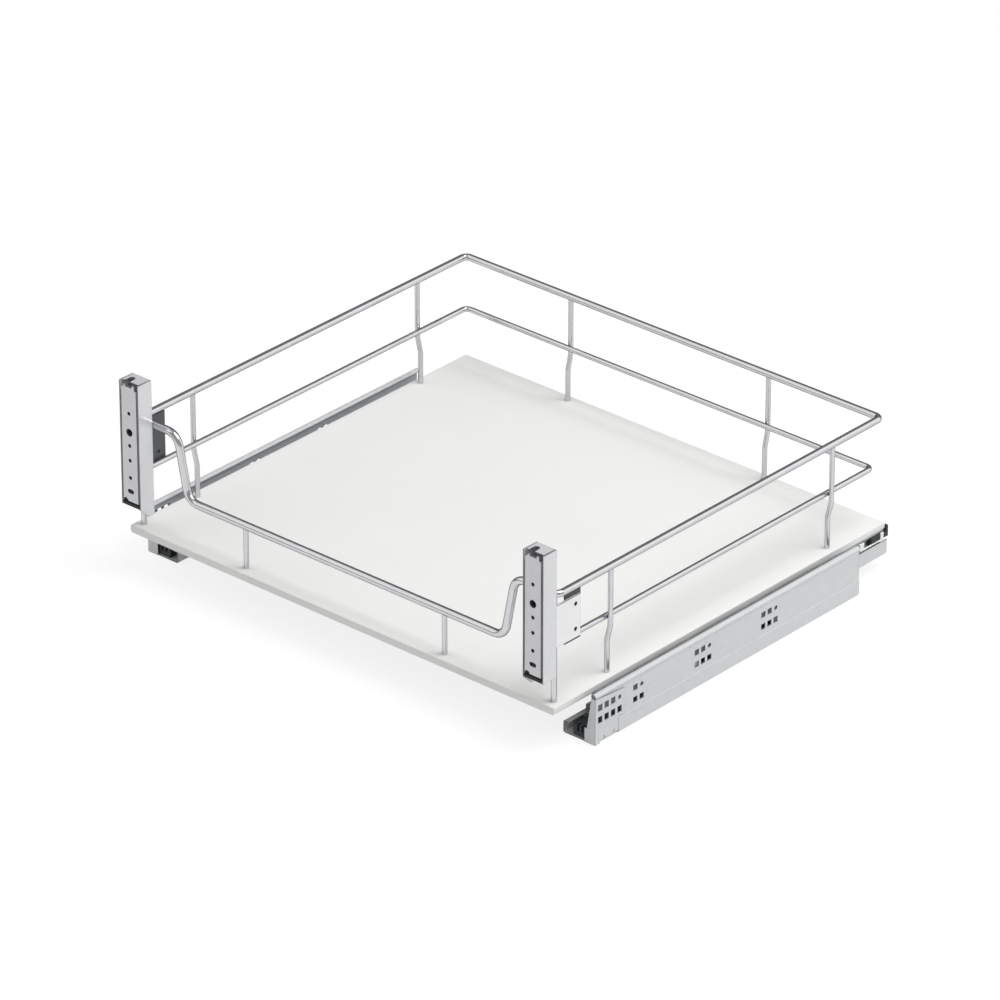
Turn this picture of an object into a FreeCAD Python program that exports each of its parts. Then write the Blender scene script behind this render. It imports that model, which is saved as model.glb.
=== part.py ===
import FreeCAD, Part
import math
import os

# Pull-out wire drawer for a kitchen cabinet, in millimetres.
# A flat board with a bent-wire railing runs out on a pair of three-member
# roller slides, and two sheet-metal channels at its front carry the panel.
# X runs across, Y runs from front to back, Z is up. The drawer opens to -Y.
# The origin lies under the middle of the outer box, on the slides' underside.
# Every sub-part is modelled for the right-hand side and mirrored for the left.

Vec = FreeCAD.Vector
same_place = 1e-6

# Cabinet and base board
clear_width = 564.0
board_side_gap = 16.0
board_depth = 477.0
board_thickness = 8.0
board_lift = 42.0
rebate_height = 2.0
rebate_depth = 1.2

# Wire railing, heights above the board and distances behind its front edge
top_wire = 7.0
lower_wire = 5.5
front_wire = 8.0
post_wire = 5.0
corner_post_wire = 5.5
top_rail_height = 111.5
lower_rail_height = 58.2
dip_height = 45.3
top_rail_inset = 4.6
top_rail_rear_inset = 4.7
rail_corner_radius = 6.0
front_rail_inset = 7.5
dip_shoulder = 46.5
dip_slope = 13.0
dip_bend_radius = 15.0
side_post_setbacks = [83.2, 400.8]
centre_post_spacing = 249.2
corner_post_side_gap = 24.5
post_crank = 3.9
crank_top = 50.0
crank_bottom = 34.0
crank_radius = 9.0

# Screws that hold the posts down on the board
post_screw = 3.0
post_screw_head = 6.4
post_screw_cone = 1.7
post_screw_grip = 6.0

# Front channels, which carry the panel strips
channel_width = 24.5
channel_depth = 18.6
channel_projection = 12.8
channel_side_gap = 18.0
channel_sheet = 1.0
channel_bottom = 29.0
channel_top = 160.3
channel_tail_bottom = 18.5
channel_tail_setback = 10.8
channel_lid_length = 15.6
channel_lid_gap = 0.9
lid_slot_width = 6.6
lid_slot_length = 9.4
lid_slot_offset = 3.2

# Panel strips with their holes, heights above the board
strip_side_gap = 1.6
strip_sheet = 2.0
strip_flange_sheet = 1.2
strip_flange_depth = 4.5
strip_flange_end = 4.0
strip_bottom = 34.4
strip_top = 158.4
strip_hole = 4.0
strip_hole_heights = [60.0, 78.4, 94.0, 128.0]
strip_access_hole = 8.0
strip_access_height = 108.0
strip_slot_height = 45.5
strip_slot_length = 8.0
strip_notch_width = 8.0
strip_notch_depth = 2.6
strip_corner_notch = 2.2
strip_hook_radius = 3.0
strip_top_chamfer = 5.0
strip_travel = 2.0

# Height adjusters and clamp screws inside the channels
cam_turn = 45.0
cam_pin = 4.0
cam_disc = 9.0
cam_disc_thickness = 3.0
cam_shaft = 5.0
cam_rivet_head = 8.0
cam_rivet_thickness = 1.0
cam_pin_setback = 0.4
driver_slot_width = 0.8
driver_slot_depth = 0.7
clamp_head = 6.8
clamp_head_height = 2.8
clamp_shank = 4.0
recess_width = 1.3
recess_depth = 1.2

# Plastic feet that close the channels below the panel strips
foot_lip_setback = 0.6
foot_wall = 1.6
foot_travel_gap = 0.4

# Fixing plates from the channels past the corner posts, with a backing against the rails
plate_sheet = 2.4
plate_length_inside = 13.3
plate_rear_setback = 39.8
plate_bottom = 58.6
plate_top = 101.6
plate_hole = 4.2
plate_hole_setback = 33.0
plate_hole_heights = [67.8, 93.7]
backing_front_setback = 21.0
backing_rear_setback = 42.6
backing_bottom = 55.0

# Cabinet members of the slides; u runs inboard from the cabinet side
cabinet_setback = 39.0
cabinet_length = 381.0
cabinet_sheet = 1.5
trough_width = 39.0
trough_wall_height = 13.0
trough_lip = 7.5
flange_recess = 0.8
fold_height = 16.0
fold_setback = 33.0
bead_radius = 3.0
bead_height = 49.0
sheet_bend = 0.8
hole_square = 5.5
bracket_hole_height = 6.3
bracket_hole_margin = 1.0
screw_hole = 4.5
hole_row_heights = [24.8, 37.4]
hole_columns = [[7.0, 16.0, 25.0, 34.0], [57.0, 66.0], [144.0, 153.0, 162.0], [240.0, 249.0, 258.0]]

# Front brackets wrapped round the cabinet members' front ends
bracket_sheet = 0.8
bracket_length = 41.0
bracket_top = 48.0
bracket_end_top_width = 5.0
bracket_end_foot_width = 10.2
bracket_foot_width = 13.0
bracket_foot_height = 15.0
bracket_side_bottom = 3.0
bracket_curl_length = 7.0
bracket_notch_width = 1.0
bracket_notch_height = 3.5
bracket_notch_setbacks = [12.0, 26.0]

# Middle members
full_travel = 380.0
inner_setback = 21.0
inner_overhang = 3.4
middle_sheet = 1.2
middle_outer_u = 15.5
middle_width = 14.0
middle_web_height = 15.0
middle_wall_top = 31.0
middle_inner_wall_top = 25.2
middle_lip = 4.5
middle_wing = 5.3
middle_wing_gap = 0.5
middle_rear_radius = 4.5

# Drawer members, which are screwed under the board
drawer_sheet = 1.3
drawer_flange_start = 16.5
drawer_flange_width = 17.0
drawer_web_u = 21.5
drawer_foot_gap = 0.7
drawer_foot_side_gap = 0.7
rail_screw = 3.5
rail_screw_head = 7.0
rail_screw_head_height = 1.6
rail_screw_grip = 6.5
rail_screw_u = 28.4
rail_screw_count = 4
rail_screw_front_inset = 36.0
rail_screw_rear_inset = 17.0

# Roller carriages
roller_gap = 0.3
lower_roller_length = 14.0
roller_count = 4
lower_cage_length = 160.0
upper_cage_length = 160.0
lower_cage_thickness = 4.0
upper_cage_thickness = 2.4
cage_side_bar = 2.4
lower_trunnion = 3.0
upper_trunnion = 1.4
running_gap = 0.05
lower_cage_centre_u = 18.0

# Plastic pieces in the slides
stop_length = 40.0
stop_top = 13.0
stop_front_gap = 2.0
stop_side_gap = 0.6
stop_tooth_width = 2.2
stop_tooth_depth = 5.0
stop_tooth_pitch = 5.2
stop_rib_height = 4.6
shoe_outer_u = 14.0
shoe_inset = 0.6
shoe_front_inset = 21.0
shoe_bottom = 32.0
shoe_end_inset = 3.7
shoe_end_bottom = 35.2
shoe_cap_thickness = 2.7
shoe_cap_gap = 0.3
shoe_cap_top = 47.0
frame_front_inset = 39.0
frame_front_length = 6.0
frame_post_inset = 8.0
frame_sheet = 1.4
frame_foot_bottom = 33.8
frame_foot = 1.2
frame_top_gap = 0.4

# Derived places
overall_depth = channel_projection + board_depth + inner_overhang
front_y = -overall_depth / 2
board_front_y = front_y + channel_projection
board_top_z = board_lift + board_thickness
side_x = clear_width / 2
board_side_x = side_x - board_side_gap
board_rear_y = board_front_y + board_depth
channel_rear_y = front_y + channel_depth
front_rail_y = channel_rear_y + front_wire / 2
rail_x = board_side_x - top_rail_inset
corner_post_x = side_x - corner_post_side_gap
centre_post_x = centre_post_spacing / 2
front_rail_end = corner_post_x - front_rail_inset
dip_top_x = corner_post_x - dip_shoulder
dip_bottom_x = dip_top_x - dip_slope
lower_rail_x = rail_x - post_wire / 2 - lower_wire / 2
top_rail_back_y = board_rear_y - top_rail_rear_inset
lower_rail_back_y = top_rail_back_y - post_wire / 2 - lower_wire / 2
top_rail_z = board_top_z + top_rail_height
lower_rail_z = board_top_z + lower_rail_height
dip_z = board_top_z + dip_height
channel_outer_x = side_x - channel_side_gap
channel_inner_x = channel_outer_x - channel_width
strip_inner_x = channel_inner_x + channel_sheet + strip_side_gap
strip_outer_x = channel_outer_x - channel_sheet - strip_side_gap
strip_x = (strip_inner_x + strip_outer_x) / 2
cam_throw = strip_travel / math.sin(math.radians(cam_turn))
cam_x = strip_x - cam_throw
cam_z = board_top_z + strip_slot_height
strip_back_y = front_y + strip_sheet
head_front_y = strip_back_y + roller_gap
channel_web_y = channel_rear_y - channel_sheet
plate_outer_x = channel_outer_x - channel_sheet
plate_inner_x = plate_outer_x - plate_sheet
cabinet_front_y = board_front_y + cabinet_setback
inner_front_y = cabinet_front_y + inner_setback
inner_rear_y = board_rear_y + inner_overhang
lower_overlap_front_y = cabinet_front_y
lower_overlap_rear_y = inner_rear_y - full_travel / 2
upper_overlap_front_y = inner_front_y - full_travel / 2
upper_overlap_rear_y = board_rear_y - full_travel
lower_cage_y = (lower_overlap_front_y + lower_overlap_rear_y + full_travel / 2 - lower_cage_length) / 2
upper_cage_y = (upper_overlap_front_y + upper_overlap_rear_y + full_travel * 3 / 2 - upper_cage_length) / 2
flange_u = flange_recess + cabinet_sheet
middle_inner_u = middle_outer_u + middle_width
middle_web_top = middle_web_height + middle_sheet
middle_wing_top = trough_wall_height - cabinet_sheet - middle_wing_gap
drawer_foot_top = middle_inner_wall_top - middle_sheet - drawer_foot_gap
drawer_foot_bottom = drawer_foot_top - drawer_sheet
lower_roller = middle_web_height - cabinet_sheet - 2 * roller_gap
upper_roller = drawer_foot_bottom - middle_web_top - 2 * roller_gap
upper_roller_length = middle_width - 2 * (middle_sheet + cage_side_bar + 2 * roller_gap)


def from_side(u):
    """X of a point that lies u inboard of the right-hand cabinet side."""
    return side_x - u


def behind_board_front(distance):
    """Y of a point behind the board's front edge."""
    return board_front_y + distance


def above_board(height):
    """Z of a point above the board's top face."""
    return board_top_z + height


def block(x0, x1, y0, y1, z0, z1):
    """Box between two corners."""
    return Part.makeBox(x1 - x0, y1 - y0, z1 - z0, Vec(x0, y0, z0))


def slide_block(u0, u1, y0, y1, z0, z1):
    """Box in the right-hand slide, with u measured inboard from the cabinet side."""
    return block(from_side(u1), from_side(u0), y0, y1, z0, z1)


def rod(start, end, diameter):
    """Round bar from one point to another."""
    along = end - start
    return Part.makeCylinder(diameter / 2, along.Length, start, along)


def rounded_face(points, radii, place):
    """Flat face through corner points, each rounded by its own radius."""
    corners = [Vec(a, b, 0) for a, b in points]
    stretches = []
    for index, corner in enumerate(corners):
        radius = radii[index]
        following = corners[(index + 1) % len(corners)]
        if radius == 0:
            stretches.append([corner])
            continue
        into = (corner - corners[index - 1]).normalize()
        out = (following - corner).normalize()
        half_turn = into.getAngle(out) / 2
        cut = radius * math.tan(half_turn)
        inward = (out - into).normalize()
        centre = corner + inward * (radius / math.cos(half_turn))
        stretches.append([corner - into * cut, centre - inward * radius, corner + out * cut])
    edges = []
    for index, stretch in enumerate(stretches):
        following = stretches[(index + 1) % len(stretches)]
        if len(stretch) == 3:
            edges.append(Part.Arc(*[place(p.x, p.y) for p in stretch]).toShape())
        start = place(stretch[-1].x, stretch[-1].y)
        end = place(following[0].x, following[0].y)
        if (end - start).Length > same_place:
            edges.append(Part.LineSegment(start, end).toShape())
    return Part.Face(Part.Wire(edges))


def sheet_outline(points, sheet, bend):
    """Corner points and radii of a bent sheet's section, from its centre line."""
    directions = []
    for first, second in zip(points, points[1:]):
        directions.append((Vec(*second, 0) - Vec(*first, 0)).normalize())
    sides = []
    for sign in (1, -1):
        side = []
        for index, point in enumerate(points):
            into = directions[max(index - 1, 0)]
            out = directions[min(index, len(directions) - 1)]
            normal = (Vec(-into.y, into.x, 0) + Vec(-out.y, out.x, 0)).normalize()
            stretch = sign * sheet / 2 / normal.dot(Vec(-out.y, out.x, 0))
            turn = into.x * out.y - into.y * out.x
            radius = 0
            if abs(turn) > same_place:
                radius = bend if turn * sign > 0 else bend + sheet
            side.append((point[0] + normal.x * stretch, point[1] + normal.y * stretch, radius))
        sides.append(side)
    outline = sides[0] + sides[1][::-1]
    return [(a, b) for a, b, radius in outline], [radius for a, b, radius in outline]


def slide_profile(points, sheet, y0, y1, bend=sheet_bend):
    """Bent-sheet bar along Y in the right-hand slide, from its (u, z) centre line."""
    corners, radii = sheet_outline(points, sheet, bend)
    face = rounded_face(corners, radii, lambda u, z: Vec(from_side(u), y0, z))
    return face.extrude(Vec(0, y1 - y0, 0))


def bent_wire(points, diameter, radius):
    """Round wire through points, with every corner bent to one radius."""
    edges = []
    start = points[0]
    for before, corner, after in zip(points, points[1:], points[2:]):
        into = (corner - before).normalize()
        out = (after - corner).normalize()
        half_turn = into.getAngle(out) / 2
        cut = radius * math.tan(half_turn)
        inward = (out - into).normalize()
        centre = corner + inward * (radius / math.cos(half_turn))
        bend_start = corner - into * cut
        bend_end = corner + out * cut
        edges.append(Part.LineSegment(start, bend_start).toShape())
        edges.append(Part.Arc(bend_start, centre - inward * radius, bend_end).toShape())
        start = bend_end
    edges.append(Part.LineSegment(start, points[-1]).toShape())
    section = Part.Wire(Part.Circle(points[0], points[1] - points[0], diameter / 2).toShape())
    return Part.Wire(edges).makePipeShell([section], True, False)


def slot_along_x(x, z, length, height, y0, y1):
    """Bar with round ends along X, used to cut a slot that runs through in Y."""
    reach = (length - height) / 2
    bar = block(x - reach, x + reach, y0, y1, z - height / 2, z + height / 2)
    for end in (x - reach, x + reach):
        bar = bar.fuse(rod(Vec(end, y0, z), Vec(end, y1, z), height))
    return bar.removeSplitter()


def mirrored(shape):
    """The same piece on the other side of the drawer."""
    return shape.mirror(Vec(0, 0, 0), Vec(1, 0, 0))


def same_on_left(shape):
    """A shape of the right channel moved to the left one, where it has the same hand."""
    copy = shape.copy()
    copy.translate(Vec(-2 * strip_x, 0, 0))
    return copy


def top_rail():
    """Upper rail: one wire round the sides and the back, its ends turned in at the front."""
    points = [Vec(front_rail_end, front_rail_y, top_rail_z), Vec(rail_x, front_rail_y, top_rail_z),
              Vec(rail_x, top_rail_back_y, top_rail_z), Vec(-rail_x, top_rail_back_y, top_rail_z),
              Vec(-rail_x, front_rail_y, top_rail_z), Vec(-front_rail_end, front_rail_y, top_rail_z)]
    return bent_wire(points, top_wire, rail_corner_radius)


def lower_rail():
    """Lower rail: a thinner wire on the inner side of the posts, butted on the corner posts."""
    start_y = front_rail_y + corner_post_wire / 2
    points = [Vec(lower_rail_x, start_y, lower_rail_z), Vec(lower_rail_x, lower_rail_back_y, lower_rail_z),
              Vec(-lower_rail_x, lower_rail_back_y, lower_rail_z), Vec(-lower_rail_x, start_y, lower_rail_z)]
    return bent_wire(points, lower_wire, rail_corner_radius)


def front_rail():
    """Front rail, which dips in the middle and butts against the upper rail's ends."""
    points = [Vec(-front_rail_end, front_rail_y, top_rail_z), Vec(-dip_top_x, front_rail_y, top_rail_z),
              Vec(-dip_bottom_x, front_rail_y, dip_z), Vec(dip_bottom_x, front_rail_y, dip_z),
              Vec(dip_top_x, front_rail_y, top_rail_z), Vec(front_rail_end, front_rail_y, top_rail_z)]
    return bent_wire(points, front_wire, dip_bend_radius)


def post_screw_at(x, y):
    """Countersunk screw up through the board into a post's foot."""
    head = Part.makeCone(post_screw_head / 2, post_screw / 2, post_screw_cone, Vec(x, y, board_lift))
    shank = rod(Vec(x, y, board_lift + post_screw_cone), Vec(x, y, above_board(post_screw_grip)), post_screw)
    return head.fuse(shank)


def cranked_post(top, inward, rail):
    """Post whose foot is set in from the rail that its top is coped against."""
    foot = top + inward * post_crank
    points = [top, Vec(top.x, top.y, above_board(crank_top)),
              Vec(foot.x, foot.y, above_board(crank_bottom)), Vec(foot.x, foot.y, board_top_z)]
    return bent_wire(points, post_wire, crank_radius).cut(rail)


def straight_post(x, y, top_z, diameter, rail):
    """Upright post from the board to the rail that its top is coped against."""
    return rod(Vec(x, y, board_top_z), Vec(x, y, top_z), diameter).cut(rail)


def railing():
    """All posts by name with the screws under their feet."""
    upper = top_rail()
    front = front_rail()
    posts = {}
    feet = []
    for place, setback in zip(("front", "rear"), side_post_setbacks):
        top = Vec(rail_x, behind_board_front(setback), top_rail_z)
        posts["side_post_" + place] = cranked_post(top, Vec(-1, 0, 0), upper)
        feet.append((rail_x - post_crank, top.y))
    top = Vec(centre_post_x, top_rail_back_y, top_rail_z)
    posts["back_post"] = cranked_post(top, Vec(0, -1, 0), upper)
    feet.append((centre_post_x, top_rail_back_y - post_crank))
    posts["front_post"] = straight_post(centre_post_x, front_rail_y, dip_z, post_wire, front)
    feet.append((centre_post_x, front_rail_y))
    posts["corner_post"] = straight_post(corner_post_x, front_rail_y, top_rail_z, corner_post_wire, upper)
    feet.append((corner_post_x, front_rail_y))
    screws = [post_screw_at(x, y) for x, y in feet]
    for name, screw in zip(list(posts), screws):
        posts[name] = posts[name].cut(screw)
    return posts, screws


def rail_screw_places():
    """Board screws of the right-hand drawer member, as (x, y) pairs."""
    first_y = inner_front_y + rail_screw_front_inset
    pitch = (board_rear_y - rail_screw_rear_inset - first_y) / (rail_screw_count - 1)
    return [(from_side(rail_screw_u), first_y + pitch * index) for index in range(rail_screw_count)]


def rail_screw_at(x, y):
    """Pan-head screw up through the drawer member's flange into the board."""
    head_top = board_lift - drawer_sheet
    head = rod(Vec(x, y, head_top - rail_screw_head_height), Vec(x, y, head_top), rail_screw_head)
    shank = rod(Vec(x, y, head_top), Vec(x, y, board_lift + rail_screw_grip), rail_screw)
    return head.fuse(shank)


def base_board(screws):
    """Flat board with a rebate along the lower side edges and the holes of every screw that enters it."""
    board = block(-board_side_x, board_side_x, board_front_y, board_rear_y, board_lift, board_top_z)
    rebate = block(board_side_x - rebate_depth, board_side_x, board_front_y, board_rear_y,
                   board_lift, board_lift + rebate_height)
    return board.cut(Part.makeCompound(screws + [rebate, mirrored(rebate)]))


def plate_hole_cutters():
    """Bars that cut the two holes through the fixing plate and its backing."""
    cutters = []
    for height in plate_hole_heights:
        centre = Vec(plate_inner_x - plate_sheet, behind_board_front(plate_hole_setback), above_board(height))
        cutters.append(rod(centre, centre + Vec(3 * plate_sheet, 0, 0), plate_hole))
    return Part.makeCompound(cutters)


def fixing_plate():
    """Plate from inside the channel, past the corner post, to behind it."""
    plate = block(plate_inner_x, plate_outer_x, channel_rear_y - plate_length_inside,
                  behind_board_front(plate_rear_setback), above_board(plate_bottom), above_board(plate_top))
    return plate.cut(plate_hole_cutters())


def plate_backing():
    """Dark plate between the fixing plate and the lower rail, up to the underside of the upper rail."""
    rail_side_x = lower_rail_x + lower_wire / 2
    rail_sag = math.sqrt((top_wire / 2) ** 2 - (rail_x - plate_inner_x) ** 2)
    backing = block(rail_side_x, plate_inner_x, behind_board_front(backing_front_setback),
                    behind_board_front(backing_rear_setback), above_board(backing_bottom), top_rail_z - rail_sag)
    return backing.cut(plate_hole_cutters())


def front_channel():
    """Open channel with a folded lid, whose inner wall has a longer tail at the rear."""
    outer = block(channel_inner_x, channel_outer_x, front_y, channel_rear_y,
                  above_board(channel_bottom), above_board(channel_top))
    hollow = block(channel_inner_x + channel_sheet, channel_outer_x - channel_sheet,
                   front_y - channel_depth, channel_web_y,
                   above_board(channel_bottom) - channel_depth, above_board(channel_top) + channel_depth)
    channel = outer.cut(hollow)
    tail = [(front_y, above_board(channel_bottom)), (channel_rear_y, above_board(channel_bottom)),
            (channel_rear_y, above_board(channel_tail_bottom)),
            (front_y + channel_tail_setback, above_board(channel_tail_bottom))]
    face = rounded_face(tail, [0] * len(tail), lambda y, z: Vec(channel_inner_x, y, z))
    channel = channel.fuse(face.extrude(Vec(channel_sheet, 0, 0)))
    lid = block(channel_inner_x + channel_sheet + channel_lid_gap,
                channel_outer_x - channel_sheet - channel_lid_gap,
                channel_rear_y - channel_lid_length, channel_web_y,
                above_board(channel_top) - channel_sheet, above_board(channel_top))
    channel = channel.fuse(lid).removeSplitter()
    clamp_hole = rod(Vec(strip_x, channel_web_y - channel_sheet, above_board(strip_access_height)),
                     Vec(strip_x, channel_rear_y + channel_sheet, above_board(strip_access_height)), clamp_shank)
    cam_hole = rod(Vec(cam_x, channel_web_y - channel_sheet, cam_z),
                   Vec(cam_x, channel_rear_y + channel_sheet, cam_z), cam_shaft + 2 * running_gap)
    plate_window = block(plate_inner_x, plate_outer_x, channel_web_y, channel_rear_y,
                         above_board(plate_bottom), above_board(plate_top))
    return channel.cut(clamp_hole).cut(cam_hole).cut(plate_window)


def channel_foot():
    """Moulded foot in the channel: a body behind the strip, a lip below it and a hollow underside."""
    inner_x = channel_inner_x + channel_sheet + running_gap
    outer_x = channel_outer_x - channel_sheet - running_gap
    low = above_board(channel_bottom)
    lip_top = above_board(strip_bottom - strip_travel - foot_travel_gap)
    body_top = above_board(strip_bottom + strip_flange_end - strip_travel - foot_travel_gap)
    foot = block(inner_x, outer_x, head_front_y, channel_web_y, low, body_top)
    foot = foot.fuse(block(inner_x, outer_x, front_y + foot_lip_setback, head_front_y, low, lip_top))
    pocket = block(inner_x + foot_wall, outer_x - foot_wall, head_front_y + foot_wall,
                   channel_web_y - foot_wall, low, body_top - foot_wall)
    return foot.removeSplitter().cut(pocket)


def lid_slot():
    """Round-ended cut that runs into the lid from its front edge."""
    centre_x = channel_inner_x + channel_sheet + channel_lid_gap + lid_slot_offset + lid_slot_width / 2
    lid_front_y = channel_rear_y - channel_lid_length
    round_y = lid_front_y + lid_slot_length - lid_slot_width / 2
    low = above_board(channel_top) - 2 * channel_sheet
    high = above_board(channel_top) + channel_sheet
    straight = block(centre_x - lid_slot_width / 2, centre_x + lid_slot_width / 2,
                     lid_front_y - channel_sheet, round_y, low, high)
    return straight.fuse(rod(Vec(centre_x, round_y, low), Vec(centre_x, round_y, high), lid_slot_width))


def strip_hole_cutter(diameter, height):
    """Bar that cuts one round hole through the strip's face."""
    return rod(Vec(strip_x, front_y - strip_sheet, above_board(height)),
               Vec(strip_x, front_y + 2 * strip_sheet, above_board(height)), diameter)


def front_strip():
    """Panel strip: a shallow channel with screw holes, an access hole and the adjuster's slot."""
    low = above_board(strip_bottom)
    high = above_board(strip_top)
    strip = block(strip_inner_x, strip_outer_x, front_y, front_y + strip_flange_depth, low, high)
    strip = strip.cut(block(strip_inner_x + strip_flange_sheet, strip_outer_x - strip_flange_sheet,
                            strip_back_y, front_y + 2 * strip_flange_depth, low, high))
    for start, end in ((low, low + strip_flange_end), (high - strip_flange_end, high)):
        strip = strip.cut(block(strip_inner_x, strip_outer_x, strip_back_y, front_y + 2 * strip_flange_depth,
                                start, end))
    for height in strip_hole_heights:
        strip = strip.cut(strip_hole_cutter(strip_hole, height))
    strip = strip.cut(strip_hole_cutter(strip_access_hole, strip_access_height))
    slot_height = cam_pin + 2 * roller_gap
    strip = strip.cut(slot_along_x(strip_x, cam_z, strip_slot_length, slot_height,
                                   front_y - strip_sheet, front_y + 2 * strip_sheet))
    strip = strip.cut(block(strip_x - strip_notch_width / 2, strip_x + strip_notch_width / 2,
                            front_y - strip_sheet, front_y + 2 * strip_sheet, high - strip_notch_depth, high))
    strip = strip.cut(block(strip_outer_x - strip_corner_notch, strip_outer_x, front_y - strip_sheet,
                            front_y + 2 * strip_flange_depth, high - 2 * strip_corner_notch, high))
    hook = rod(Vec(strip_inner_x + strip_hook_radius, front_y - strip_sheet, low),
               Vec(strip_inner_x + strip_hook_radius, front_y + 2 * strip_flange_depth, low),
               2 * strip_hook_radius)
    chamfer = rounded_face([(strip_inner_x, high - strip_top_chamfer), (strip_inner_x, high),
                            (strip_inner_x + strip_top_chamfer, high)], [0, 0, 0],
                           lambda x, z: Vec(x, front_y, z))
    return strip.cut(hook).cut(chamfer.extrude(Vec(0, strip_flange_depth, 0)))


def adjuster_cam():
    """Eccentric: a shaft riveted through the web, a disc behind the strip and a pin in its slot."""
    disc_back_y = head_front_y + cam_disc_thickness
    rivet_y = channel_rear_y + running_gap
    cam = rod(Vec(cam_x, head_front_y, cam_z), Vec(cam_x, disc_back_y, cam_z), cam_disc)
    cam = cam.fuse(rod(Vec(cam_x, disc_back_y, cam_z), Vec(cam_x, rivet_y, cam_z), cam_shaft))
    cam = cam.fuse(rod(Vec(cam_x, rivet_y, cam_z), Vec(cam_x, rivet_y + cam_rivet_thickness, cam_z),
                       cam_rivet_head))
    pin_front_y = front_y + cam_pin_setback
    cam = cam.fuse(rod(Vec(strip_x, pin_front_y, cam_z), Vec(strip_x, head_front_y, cam_z), cam_pin))
    groove = block(strip_x - cam_pin, strip_x + cam_pin, pin_front_y - driver_slot_depth,
                   pin_front_y + driver_slot_depth, cam_z - driver_slot_width / 2, cam_z + driver_slot_width / 2)
    return cam.removeSplitter().cut(groove)


def clamp_screw():
    """Cross-recess screw in the channel, reached through the strip's access hole."""
    z = above_board(strip_access_height)
    head_back_y = head_front_y + clamp_head_height
    screw = rod(Vec(strip_x, head_front_y, z), Vec(strip_x, head_back_y, z), clamp_head)
    screw = screw.fuse(rod(Vec(strip_x, head_back_y, z), Vec(strip_x, channel_rear_y, z), clamp_shank))
    arm = clamp_head * 0.32
    for along_x, along_z in ((arm, recess_width / 2), (recess_width / 2, arm)):
        screw = screw.cut(block(strip_x - along_x, strip_x + along_x, head_front_y - recess_depth,
                                head_front_y + recess_depth, z - along_z, z + along_z))
    return screw


def flange_hole_cutters(columns, width, height):
    """One group of square holes, whose last upper hole is a round screw hole."""
    cutters = []
    outside = from_side(-cabinet_sheet)
    inside = from_side(flange_u + cabinet_sheet)
    for column in columns:
        y = cabinet_front_y + column
        for z in hole_row_heights:
            if column == columns[-1] and z == hole_row_heights[-1]:
                cutters.append(rod(Vec(inside, y, z), Vec(outside, y, z), screw_hole))
                continue
            cutters.append(block(inside, outside, y - width / 2, y + width / 2, z - height / 2, z + height / 2))
    return cutters


def bracket_hole_cutters():
    """Holes of the front bracket, all in the first group."""
    return Part.makeCompound(flange_hole_cutters(hole_columns[0], hole_square, bracket_hole_height))


def member_hole_cutters():
    """Holes of the cabinet member, wider under the bracket so that they don't mask its holes."""
    cutters = flange_hole_cutters(hole_columns[0], hole_square + 2 * bracket_hole_margin,
                                  bracket_hole_height + 2 * bracket_hole_margin)
    for columns in hole_columns[1:]:
        cutters.extend(flange_hole_cutters(columns, hole_square, hole_square))
    return Part.makeCompound(cutters)


def cabinet_member():
    """Fixed member: flange with a rolled bead on top, joggled foot, trough floor, wall and lip."""
    start_y = cabinet_front_y + bracket_sheet
    step_y = cabinet_front_y + fold_setback
    end_y = cabinet_front_y + cabinet_length
    half = cabinet_sheet / 2
    face_u = flange_recess + half
    floor = [(trough_width - half, half), (trough_width - half, trough_wall_height - half),
             (trough_width - trough_lip, trough_wall_height - half)]
    plain = [(face_u, bead_height), (face_u, half)] + floor
    joggled = [(face_u, bead_height), (face_u, fold_height + flange_recess),
               (half, fold_height), (half, half)] + floor
    member = slide_profile(plain, cabinet_sheet, start_y, step_y)
    member = member.fuse(slide_profile(joggled, cabinet_sheet, step_y, end_y))
    bead_x = from_side(bead_radius)
    bead = rod(Vec(bead_x, start_y, bead_height), Vec(bead_x, end_y, bead_height), 2 * bead_radius)
    bore = rod(Vec(bead_x, start_y, bead_height), Vec(bead_x, end_y, bead_height),
               2 * (bead_radius - cabinet_sheet))
    bead = bead.cut(bore)
    opening = slide_block(flange_u, 2 * bead_radius, start_y, end_y, bead_height - bead_radius, bead_height)
    return member.fuse(bead.cut(opening)).removeSplitter().cut(member_hole_cutters())


def front_bracket():
    """Thin end piece wrapped round the cabinet member's front, with notches in its lower edge."""
    end_y = cabinet_front_y + bracket_length
    step_y = cabinet_front_y + fold_setback
    back_y = cabinet_front_y + bracket_sheet
    end = [(0, 0), (bracket_foot_width, 0), (bracket_foot_width, bracket_foot_height),
           (bracket_end_foot_width, bracket_foot_height), (bracket_end_top_width, bracket_top), (0, bracket_top)]
    end_face = rounded_face(end, [0] * len(end), lambda u, z: Vec(from_side(u), cabinet_front_y, z))
    piece = end_face.extrude(Vec(0, bracket_sheet, 0))
    outline = [(cabinet_front_y, 0), (cabinet_front_y + bracket_curl_length, 0),
               (cabinet_front_y + bracket_curl_length, bracket_side_bottom), (step_y, bracket_side_bottom),
               (step_y, fold_height + 2 * flange_recess), (end_y, fold_height + 2 * flange_recess),
               (end_y, bead_height - bead_radius - cabinet_sheet), (cabinet_front_y, bracket_top)]
    face = rounded_face(outline, [0] * len(outline), lambda y, z: Vec(from_side(bracket_sheet), y, z))
    piece = piece.fuse(face.extrude(Vec(bracket_sheet, 0, 0)))
    for setback in bracket_notch_setbacks:
        y = cabinet_front_y + setback
        piece = piece.cut(slide_block(-bracket_sheet, 2 * bracket_sheet, y, y + bracket_notch_width,
                                      0, bracket_side_bottom + bracket_notch_height))
    bead_x = from_side(bead_radius)
    bead = rod(Vec(bead_x, back_y, bead_height), Vec(bead_x, end_y, bead_height), 2 * bead_radius)
    return piece.removeSplitter().cut(bracket_hole_cutters()).cut(bead)


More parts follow.
